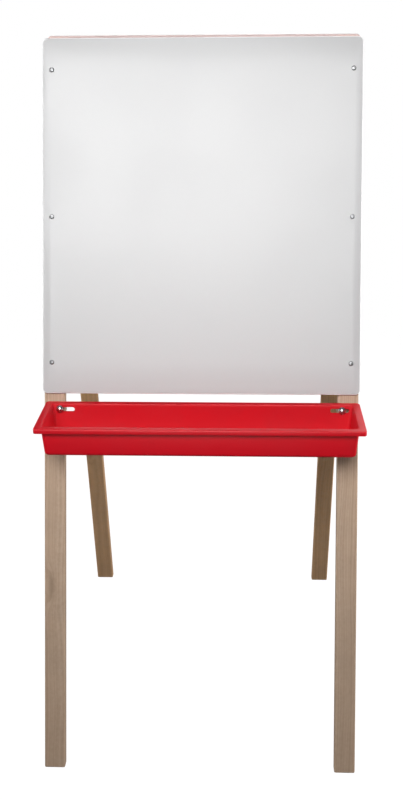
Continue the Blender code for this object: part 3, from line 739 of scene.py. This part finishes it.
def makeBoard(end):
    node = end + "_board"
    place = places[end]
    low, high = boxIn(node, place)
    panel = addBlock(node, low, high)
    bpy.ops.object.mode_set(mode="EDIT")
    pick("EDGE", lambda edge: alongAxis(edge, 1))
    bpy.ops.mesh.bevel(offset=board["corner"], segments=board["cornerSteps"], affect="EDGES")
    pick("EDGE", lambda edge: allVerts(edge, lambda co: co.y < low.y + touch))
    bpy.ops.mesh.bevel(offset=board["easedFront"], segments=4, affect="EDGES")
    pick("EDGE", lambda edge: allVerts(edge, lambda co: co.y > high.y - touch))
    bpy.ops.mesh.bevel(offset=board["easedBack"], segments=2, affect="EDGES")
    # a line round the edge where the white coat ends
    bpy.ops.mesh.select_all(action="SELECT")
    bpy.ops.mesh.bisect(plane_co=(0, low.y + board["skin"], 0), plane_no=(0, 1, 0))
    cleanUp()
    bpy.ops.object.mode_set(mode="OBJECT")
    for screw in boardScrewNodes(end):
        screwLow, screwHigh = boxIn(screw, place)
        drillThrough(panel, board["screwHole"], (screwLow + screwHigh) / 2, low, high)
    smooth(panel, 30)
    settle(panel, node, place, [boardFaces[end], hardboards[end], boardEdgeHighlights[end]])
    # faces below the white coat take the hardboard; the eased edge takes the paler tone, a painted highlight
    back = place.inverted()
    for face in panel.data.polygons:
        depth = (back @ face.center).y - low.y
        if depth > board["skin"]:
            face.material_index = 1
        elif depth > board["flat"]:
            face.material_index = 2


for end in places:
    makeBoard(end)
print("boards made")


panHead = {
    "radius": 0.0047,
    "height": 0.0022,
    "shank": 0.0019,
    "length": 0.019,
    "recessWide": 0.0058,
    "recessThick": 0.0020,
    "recessDeep": 0.0017,
}


def panOutline(size, steps=5):
    # flat middle, a round shoulder, a low upright rim, then the shank and its point
    flatShare, roundShare = 0.45, 0.78
    crown = size["radius"] * flatShare
    shoulder = size["radius"] - crown
    drop = size["height"] * roundShare
    points = [(0.0, size["height"]), (crown, size["height"])]
    for step in range(1, steps + 1):
        angle = math.pi / 2 * step / steps
        points.append((crown + shoulder * math.sin(angle), size["height"] - drop * (1 - math.cos(angle))))
    points += [(size["radius"], 0.0), (size["shank"], 0.0)]
    points += [(size["shank"], -size["length"] + 2 * size["shank"]), (0.0, -size["length"])]
    return points


def cutCross(head, size):
    # two tapered blades make the cross
    deep = size["recessDeep"]
    top = Vector((0, 0, size["height"] + past / 10))
    bottom = Vector((0, 0, size["height"] - deep))
    for turned in (False, True):
        wide, thick = size["recessWide"] / 2, size["recessThick"] / 2
        reach = Vector((thick, wide, 0)) if turned else Vector((wide, thick, 0))
        blade = addBlock("blade", bottom - reach, top + reach)
        bpy.ops.object.mode_set(mode="EDIT")
        pick("FACE", lambda face: face.normal.z < -0.9)
        bpy.ops.transform.resize(value=(0.5, 0.5, 1))
        bpy.ops.object.mode_set(mode="OBJECT")
        combine(head, blade)
    # the recess takes the second material, near black: painted shade
    for face in head.data.polygons:
        inside = face.center.xy.length < size["recessWide"] / 2
        if inside and -touch < face.center.z - bottom.z < deep - touch / 5:
            face.material_index = 1


def makeBoardScrews():
    model = addTurned("boardScrew", panOutline(panHead))
    cutCross(model, panHead)
    smooth(model, 28)
    rng = random.Random(5)
    for end in places:
        for node in boardScrewNodes(end):
            driven = Matrix.Rotation(rng.uniform(0, math.pi / 2), 4, "Z")
            screw = copyOf(model, seatOf(node, panHead["height"]) @ faceOut @ driven)
            settle(screw, node, places[end], [screwZinc, recessDark])
    bpy.data.objects.remove(model, do_unlink=True)


makeBoardScrews()
print("board screws made")


tray = {
    "wall": 0.0025,
    "lip": 0.0115,
    "lipDrop": 0.009,
    "draft": math.radians(4.5),
    "floorCorner": 0.005,         # the corners grow with the tray's width, up to the rim
    "cornerSteps": 6,
    "floorRound": 0.005,
    "innerRound": 0.0016,
    "outerRound": 0.0022,
    "roundSteps": 5,
    "ease": 0.0006,
    "height": 0.059,
    "slotLength": 0.036,
    "slotHeight": 0.0084,
    "slotDrop": 0.0114,
    "slotMiddle": 0.2625,
    "slotCut": 0.016,             # how deep the cutter is, across the wall
    "slotRound": 0.0084 * 0.49,   # just under half of the slot's height
}


def trayDroop():
    drop = tray["height"] - tray["floorRound"] / 2 - tray["lipDrop"]
    back = tray["lip"] + drop * math.tan(tray["draft"])
    return math.atan2(back, drop) - lean


def trayOutline(depth):
    # (reach out from the inner top edge, height), from the floor up over the rim
    slope = math.tan(tray["draft"])
    turnEnd = math.pi / 2 - tray["draft"]
    radius = tray["floorRound"]
    rise = radius * (1 - math.cos(turnEnd))
    start = -(depth - rise) * slope - radius * math.sin(turnEnd)
    points = []
    steps = tray["roundSteps"]
    for step in range(steps + 1):
        angle = turnEnd * step / steps
        points.append((start + radius * math.sin(angle), -depth + radius * (1 - math.cos(angle))))
    radius = tray["innerRound"]
    for step in range(steps):
        angle = tray["draft"] + turnEnd * step / (steps - 1)
        points.append((radius * (1 - math.cos(angle)), radius * (math.sin(angle) - 1)))
    radius = tray["outerRound"]
    edge = tray["lip"] + tray["wall"]
    for step in range(steps + 1):
        angle = math.pi / 2 * step / steps
        points.append((edge - radius * (1 - math.sin(angle)), radius * (math.cos(angle) - 1)))
    points.append((edge, -tray["lipDrop"]))
    return points


def makeTray(end):
    node = end + "_tray"
    turned = Matrix.Rotation(trayDroop(), 4, "X")
    if end == "rear":
        turned = halfTurn @ turned
    low, high = boxIn(node, turned)
    # the tray's own axes: the middle of its rim's top, +Y towards the legs
    origin = Vector(((low.x + high.x) / 2, (low.y + high.y) / 2, high.z))
    size = high - low
    place = turned @ Matrix.Translation(origin)
    edge = tray["lip"] + tray["wall"]
    halfWide, halfLong = size.x / 2 - edge, size.y / 2 - edge
    outline = trayOutline(size.z - tray["wall"])
    deselectAll()
    bpy.ops.mesh.primitive_plane_add(size=1)
    shell = bpy.context.active_object
    shell.name = node
    reach, height = outline[0]
    shell.scale = (2 * (halfWide + reach), 2 * (halfLong + reach), 1)
    shell.location = (0, 0, height)
    bpy.ops.object.transform_apply(location=True, rotation=True, scale=True)
    bpy.ops.object.mode_set(mode="EDIT")
    bpy.ops.mesh.select_all(action="SELECT")
    bpy.ops.mesh.bevel(offset=tray["floorCorner"], segments=tray["cornerSteps"], affect="VERTICES")
    pick("EDGE", lambda edge: edge.is_boundary)
    last = outline[0]
    for stop in outline[1:]:
        growWide = (halfWide + stop[0]) / (halfWide + last[0])
        growLong = (halfLong + stop[0]) / (halfLong + last[0])
        bpy.ops.mesh.extrude_region_move(TRANSFORM_OT_translate={"value": (0, 0, stop[1] - last[1])})
        bpy.ops.transform.resize(value=(growWide, growLong, 1), center_override=(0, 0, 0))
        last = stop
    bpy.ops.mesh.select_all(action="SELECT")
    bpy.ops.mesh.normals_make_consistent(inside=False)
    mesh = bmesh.from_edit_mesh(shell.data)
    bottom = min(mesh.faces, key=lambda face: face.calc_center_median().z)
    if bottom.normal.z < 0:
        bpy.ops.mesh.flip_normals()
    bpy.ops.object.mode_set(mode="OBJECT")
    wall = shell.modifiers.new("wall", "SOLIDIFY")
    wall.thickness = tray["wall"]
    wall.offset = -1
    wall.use_even_offset = True
    activate(shell)
    bpy.ops.object.modifier_apply(modifier=wall.name)
    easeEdges(shell, tray["ease"])
    half = Vector((tray["slotLength"], tray["slotCut"], tray["slotHeight"])) / 2
    backWall = halfLong + tray["wall"] / 2
    for side in (-1, 1):
        middle = Vector((side * tray["slotMiddle"], backWall, -tray["slotDrop"]))
        slot = addBlock("slot", middle - half, middle + half)
        bpy.ops.object.mode_set(mode="EDIT")
        pick("EDGE", lambda edge: alongAxis(edge, 1))
        bpy.ops.mesh.bevel(offset=tray["slotRound"], segments=8, affect="EDGES")
        bpy.ops.object.mode_set(mode="OBJECT")
        combine(shell, slot)
    smooth(shell, 34)
    settle(shell, node, place, [makeRedPlastic(end + "TrayPlastic", place)])


for end in places:
    makeTray(end)
print("trays made")


bolt = {
    "radius": 0.0031,
    "head": 0.0070,
    "headHeight": 0.0038,
    "neck": 0.0062,
    "neckLength": 0.0040,
    "pitch": 0.00105,
    "thread": 0.00035,
    "threaded": 0.020,
    "start": 0.0008,              # the tip tapers by this much
}


def domeOutline(radius, height, steps=7):
    # part of a sphere over a low upright rim
    rimHeight, rimInset = 0.0003, 0.0002
    sphere = (radius ** 2 + height ** 2) / (2 * height)
    spread = math.asin(radius / sphere)
    return [
        (sphere * math.sin(spread * step / steps), height - sphere * (1 - math.cos(spread * step / steps)))
        for step in range(steps)
    ] + [(radius, rimHeight), (radius - rimInset, 0.0)]


def makeTrayBolts():
    low, high = boxIn("front_tray_bolt_left", places["front"])
    length = high.y - low.y - bolt["headHeight"]
    radius, pitch = bolt["radius"], bolt["pitch"]
    outline = domeOutline(bolt["head"], bolt["headHeight"])
    outline += [(radius, 0.0), (radius, -length + bolt["threaded"])]
    for number in range(int((bolt["threaded"] - bolt["start"]) / pitch)):
        top = -length + bolt["threaded"] - number * pitch
        outline += [(radius - bolt["thread"], top - pitch / 2), (radius, top - pitch)]
    outline += [(radius - bolt["start"], -length), (0.0, -length)]
    model = addTurned("trayBolt", outline)
    # the square neck runs a little way into the head
    half = Vector((bolt["neck"], bolt["neck"], 0)) / 2
    neck = addBlock("neck", Vector((0, 0, -bolt["neckLength"])) - half, Vector((0, 0, fit)) + half)
    combine(model, neck, "UNION")
    smooth(model, 28)
    for node in eachCorner("{end}_tray_bolt_{side}"):
        piece = copyOf(model, seatOf(node, bolt["headHeight"]) @ faceOut)
        settle(piece, node, placeOf(node), [zincPlate])
    bpy.data.objects.remove(model, do_unlink=True)


def ringOutline(inner, outer, height, ease):
    return [
        (inner, height), (outer - ease, height), (outer, height - ease),
        (outer, ease), (outer - ease, 0.0), (inner, 0.0),
    ]


def makeWashers():
    low, high = boxIn("front_tray_washer_left", places["front"])
    thick, outer = high.y - low.y, (high.x - low.x) / 2
    washerEase = 0.0003
    outline = ringOutline(bolt["radius"] + fit, outer, thick, washerEase)
    model = addTurned("trayWasher", outline, closed=True)
    smooth(model, 28)
    for node in eachCorner("{end}_tray_washer_{side}"):
        piece = copyOf(model, seatOf(node) @ faceIn)
        settle(piece, node, placeOf(node), [zincPlate])
    bpy.data.objects.remove(model, do_unlink=True)


wingNut = {
    "base": 0.0060,
    "top": 0.0046,
    "height": 0.0070,
    "reach": 0.0128,
    "wingBottom": 0.0026,
    "wingTop": 0.0109,
    "thick": 0.0024,
    "rootDrop": 0.0042,           # how much lower than its tip a wing meets the hub
    "rootInset": 0.0006,
    "tipThin": 0.75,
    "tipRound": 0.0030,
    "wingEase": 0.0006,
    "topEase": 0.0004,
    "footEase": 0.0003,
    "footHeight": 0.0008,
    "turn": math.radians(65),
}


def addWing(side, root, tip):
    # one wing, on the side of the hub where X has the sign of side
    half = wingNut["thick"] / 2
    wing = addBlock(
        "wing",
        Vector((min(side * root, side * tip), -half, wingNut["wingBottom"])),
        Vector((max(side * root, side * tip), half, wingNut["wingTop"])),
    )
    bpy.ops.object.mode_set(mode="EDIT")

    def atRootTop(co):
        return abs(co.x - side * root) < touch and co.z > wingNut["wingTop"] - touch

    def atTip(co):
        return abs(co.x - side * tip) < touch

    pick("EDGE", lambda edge: alongAxis(edge, 1) and allVerts(edge, atRootTop))
    bpy.ops.transform.translate(value=(0, 0, -wingNut["rootDrop"]))
    pick("FACE", lambda face: allVerts(face, atTip))
    bpy.ops.transform.resize(value=(1, wingNut["tipThin"], 1))
    pick("EDGE", lambda edge: alongAxis(edge, 1) and allVerts(edge, atTip))
    bpy.ops.mesh.bevel(offset=wingNut["tipRound"], segments=6, affect="EDGES")
    bpy.ops.object.mode_set(mode="OBJECT")
    easeEdges(wing, wingNut["wingEase"], 3)
    return wing


def makeWingNuts():
    bore = bolt["radius"] + fit
    top, height, base = wingNut["top"], wingNut["height"], wingNut["base"]
    model = addTurned("wingNut", [
        (bore, height), (top - wingNut["topEase"], height), (top, height - wingNut["topEase"]),
        (base, wingNut["footHeight"]), (base, wingNut["footEase"]), (base - wingNut["footEase"], 0.0),
        (bore, 0.0),
    ], closed=True)
    for side in (-1, 1):
        combine(model, addWing(side, bore + wingNut["rootInset"], wingNut["reach"]), "UNION")
    smooth(model, 34)
    for node in eachCorner("{end}_tray_wing_nut_{side}"):
        # up the bolt, then turned on it
        turned = Matrix.Rotation(wingNut["turn"], 4, "Y")
        piece = copyOf(model, seatOf(node) @ turned @ faceIn)
        settle(piece, node, placeOf(node), [zincPlate])
    bpy.data.objects.remove(model, do_unlink=True)


makeTrayBolts()
makeWashers()
makeWingNuts()
print("tray bolts, washers and wing nuts made")


leaf = {
    "thick": 0.0020,
    "halfGap": 0.0005,
    "knuckle": 0.0032,
    "clear": 0.0006,
    "middleKnuckle": 0.0124,
    "knuckleGap": 0.0003,
    "pin": 0.0015,
    "corner": 0.0030,
    "ease": 0.0003,
    "tabInset": 0.00015,          # the tabs up to the knuckles are this much smaller all round
}
flatHead = {
    "radius": 0.0030,
    "height": 0.0,
    "cone": 0.0016,
    "shank": 0.0014,
    "length": 0.015,
    "ease": 0.00015,
    "recessWide": 0.0034,
    "recessThick": 0.0008,
    "recessDeep": 0.0009,
}
pinHead = {"radius": 0.0027, "height": 0.0008}


def countersink(piece, spot, face):
    # an open cone and the screw's hole behind it
    wide, narrow = flatHead["radius"] + 2 * fit, flatHead["shank"] + fit
    slope = (flatHead["radius"] - flatHead["shank"]) / flatHead["cone"]
    above, below = past / 10, leaf["thick"] * 2
    cutter = addTurned("countersink", [
        (0.0, above), (wide + slope * above, above), (wide - slope * flatHead["cone"], -flatHead["cone"]),
        (narrow, -flatHead["cone"]), (narrow, -below), (0.0, -below),
    ], 28)
    cutter.data.transform(Matrix.Translation((spot.x, face, spot.z)) @ faceIn)
    combine(piece, cutter)


def makeHingeLeaf(node):
    place = placeOf(node)
    low, high = boxIn(node, place)
    middle = (low.x + high.x) / 2
    back, front = -leaf["halfGap"] - leaf["thick"], -leaf["halfGap"]
    top = -leaf["knuckle"] - leaf["clear"]
    plate = addBlock(node, Vector((low.x, back, low.z)), Vector((high.x, front, top)))
    bpy.ops.object.mode_set(mode="EDIT")
    pick("EDGE", lambda edge: alongAxis(edge, 1) and allVerts(edge, lambda co: co.z < low.z + touch))
    bpy.ops.mesh.bevel(offset=leaf["corner"], segments=6, affect="EDGES")
    bpy.ops.object.mode_set(mode="OBJECT")
    halfMiddle = leaf["middleKnuckle"] / 2
    if "front" in node:
        start = halfMiddle + leaf["knuckleGap"]
        knuckles = ((low.x, middle - start), (middle + start, high.x))
    else:
        knuckles = ((middle - halfMiddle, middle + halfMiddle),)
    inset = leaf["tabInset"]
    for start, stop in knuckles:
        combine(plate, addBlock(
            "tab",
            Vector((start + inset, back + inset, top - leaf["knuckle"])),
            Vector((stop - inset, front - inset, 0.0)),
        ), "UNION")
        deselectAll()
        bpy.ops.mesh.primitive_cylinder_add(vertices=32, radius=leaf["knuckle"], depth=stop - start)
        barrel = bpy.context.active_object
        barrel.data.transform(Matrix.Translation(((start + stop) / 2, 0, 0)) @ alongX)
        combine(plate, barrel, "UNION")
    easeEdges(plate, leaf["ease"])
    drill(plate, leaf["pin"] + fit, (low.x - past, 0, 0), (high.x + past, 0, 0))
    for number in (1, 2):
        screwLow, screwHigh = boxIn(node.replace("leaf", "screw") + f"_{number}", place)
        countersink(plate, (screwLow + screwHigh) / 2, front)
    smooth(plate, 32)
    settle(plate, node, place, [plainSteel])


def makeHingeScrews():
    radius, shank, ease = flatHead["radius"], flatHead["shank"], flatHead["ease"]
    model = addTurned("hingeScrew", [
        (0.0, 0.0), (radius - ease, 0.0), (radius, -ease), (shank, -flatHead["cone"]),
        (shank, 2 * shank - flatHead["length"]), (0.0, -flatHead["length"]),
    ], 28)
    cutCross(model, flatHead)
    smooth(model, 28)
    rng = random.Random(11)
    for pair in eachCorner("{end}_hinge_screw_{side}"):
        for node in (pair + "_1", pair + "_2"):
            driven = Matrix.Rotation(rng.uniform(0, math.pi / 2), 4, "Z")
            piece = copyOf(model, seatOf(node, farSide=True) @ faceIn @ driven)
            settle(piece, node, placeOf(node), [plainSteel, recessDark])
    bpy.data.objects.remove(model, do_unlink=True)


def makeHingePins():
    for node in ("hinge_pin_left", "hinge_pin_right"):
        place = placeOf(node)
        low, high = boxIn(node, place)
        half = (high.x - low.x) / 2 - pinHead["height"]
        dome = domeOutline(pinHead["radius"], pinHead["height"])
        cap = [(radius, half + height) for radius, height in dome]
        shank = [(leaf["pin"], half), (leaf["pin"], -half)]
        outline = cap + shank + [(radius, -height) for radius, height in reversed(cap)]
        pin = addTurned(node, outline, 28)
        pin.data.transform(Matrix.Translation((low + high) / 2) @ alongX)
        smooth(pin, 30)
        settle(pin, node, place, [plainSteel])


for node in eachCorner("{end}_hinge_leaf_{side}"):
    makeHingeLeaf(node)
makeHingeScrews()
makeHingePins()
print("hinges made")


brace = {
    "pivot": 0.0024,
    "bushWall": 0.0021,
    "bushEase": 0.0002,
    "endRound": 0.495,            # of the link's width, at each corner
    "endSteps": 10,
    "ease": 0.0004,
    "rivetHead": 0.0046,
    "rivetHeight": 0.0016,
}
pivotHead = {
    "radius": 0.0046,
    "height": 0.0022,
    "shank": 0.0024,
    "recessWide": 0.0050,
    "recessThick": 0.0010,
    "recessDeep": 0.0012,
}


def makeLink(node):
    # a flat bar with round ends, level while the easel stands open
    low, high = boxIn(node, world)
    width = high.z - low.z
    bar = addBlock(node, low, high)
    bpy.ops.object.mode_set(mode="EDIT")
    pick("EDGE", lambda edge: alongAxis(edge, 0))
    bpy.ops.mesh.bevel(offset=width * brace["endRound"], segments=brace["endSteps"], affect="EDGES")
    cleanUp()
    bpy.ops.object.mode_set(mode="OBJECT")
    easeEdges(bar, brace["ease"], 3)
    height = (low.z + high.z) / 2
    for along in (low.y + width / 2, high.y - width / 2):
        drill(bar, brace["pivot"] + fit, (low.x - past, along, height), (high.x + past, along, height), 28)
    smooth(bar, 32)
    settle(bar, node, world, [zincPlate])


def inwards(node, place, depth):
    # from a model's own axes to a seat on the side of a leg, its head towards the middle
    low, high = boxIn(node, place)
    side = 1 if low.x > 0 else -1
    start = low.x if side > 0 else high.x
    seat = Vector((start + side * depth, (low.y + high.y) / 2, (low.z + high.z) / 2))
    return Matrix.Translation(seat) @ Matrix.Rotation(-side * math.pi / 2, 4, "Y")


def makePivots():
    rng = random.Random(3)
    for node in eachCorner("brace_{end}_screw_{side}"):
        place = placeOf(node)
        low, high = boxIn(node, place)
        size = dict(pivotHead, length=high.x - low.x - pivotHead["height"])
        screw = addTurned(node, panOutline(size))
        cutCross(screw, size)
        smooth(screw, 28)
        driven = Matrix.Rotation(rng.uniform(0, math.pi / 2), 4, "Z")
        screw.data.transform(inwards(node, place, pivotHead["height"]) @ driven)
        settle(screw, node, place, [zincPlate, recessDark])


def makeBushesAndRivets():
    for side in ("left", "right"):
        node = "brace_rear_bush_" + side
        low, high = boxIn(node, places["rear"])
        inner = brace["pivot"] + fit
        outline = ringOutline(inner, inner + brace["bushWall"], high.x - low.x, brace["bushEase"])
        bush = addTurned(node, outline, closed=True)
        smooth(bush, 28)
        bush.data.transform(inwards(node, places["rear"], high.x - low.x))
        settle(bush, node, places["rear"], [zincPlate])

        node = "brace_rivet_" + side
        low, high = boxIn(node, world)
        length = high.x - low.x - brace["rivetHeight"]
        outline = domeOutline(brace["rivetHead"], brace["rivetHeight"])
        outline += [(brace["pivot"], 0.0), (brace["pivot"], -length), (0.0, -length)]
        rivet = addTurned(node, outline)
        smooth(rivet, 28)
        rivet.data.transform(inwards(node, world, brace["rivetHeight"]))
        settle(rivet, node, world, [zincPlate])


for node in eachCorner("brace_{end}_link_{side}"):
    makeLink(node)
makePivots()
makeBushesAndRivets()
print("braces made")


print("easel finished")
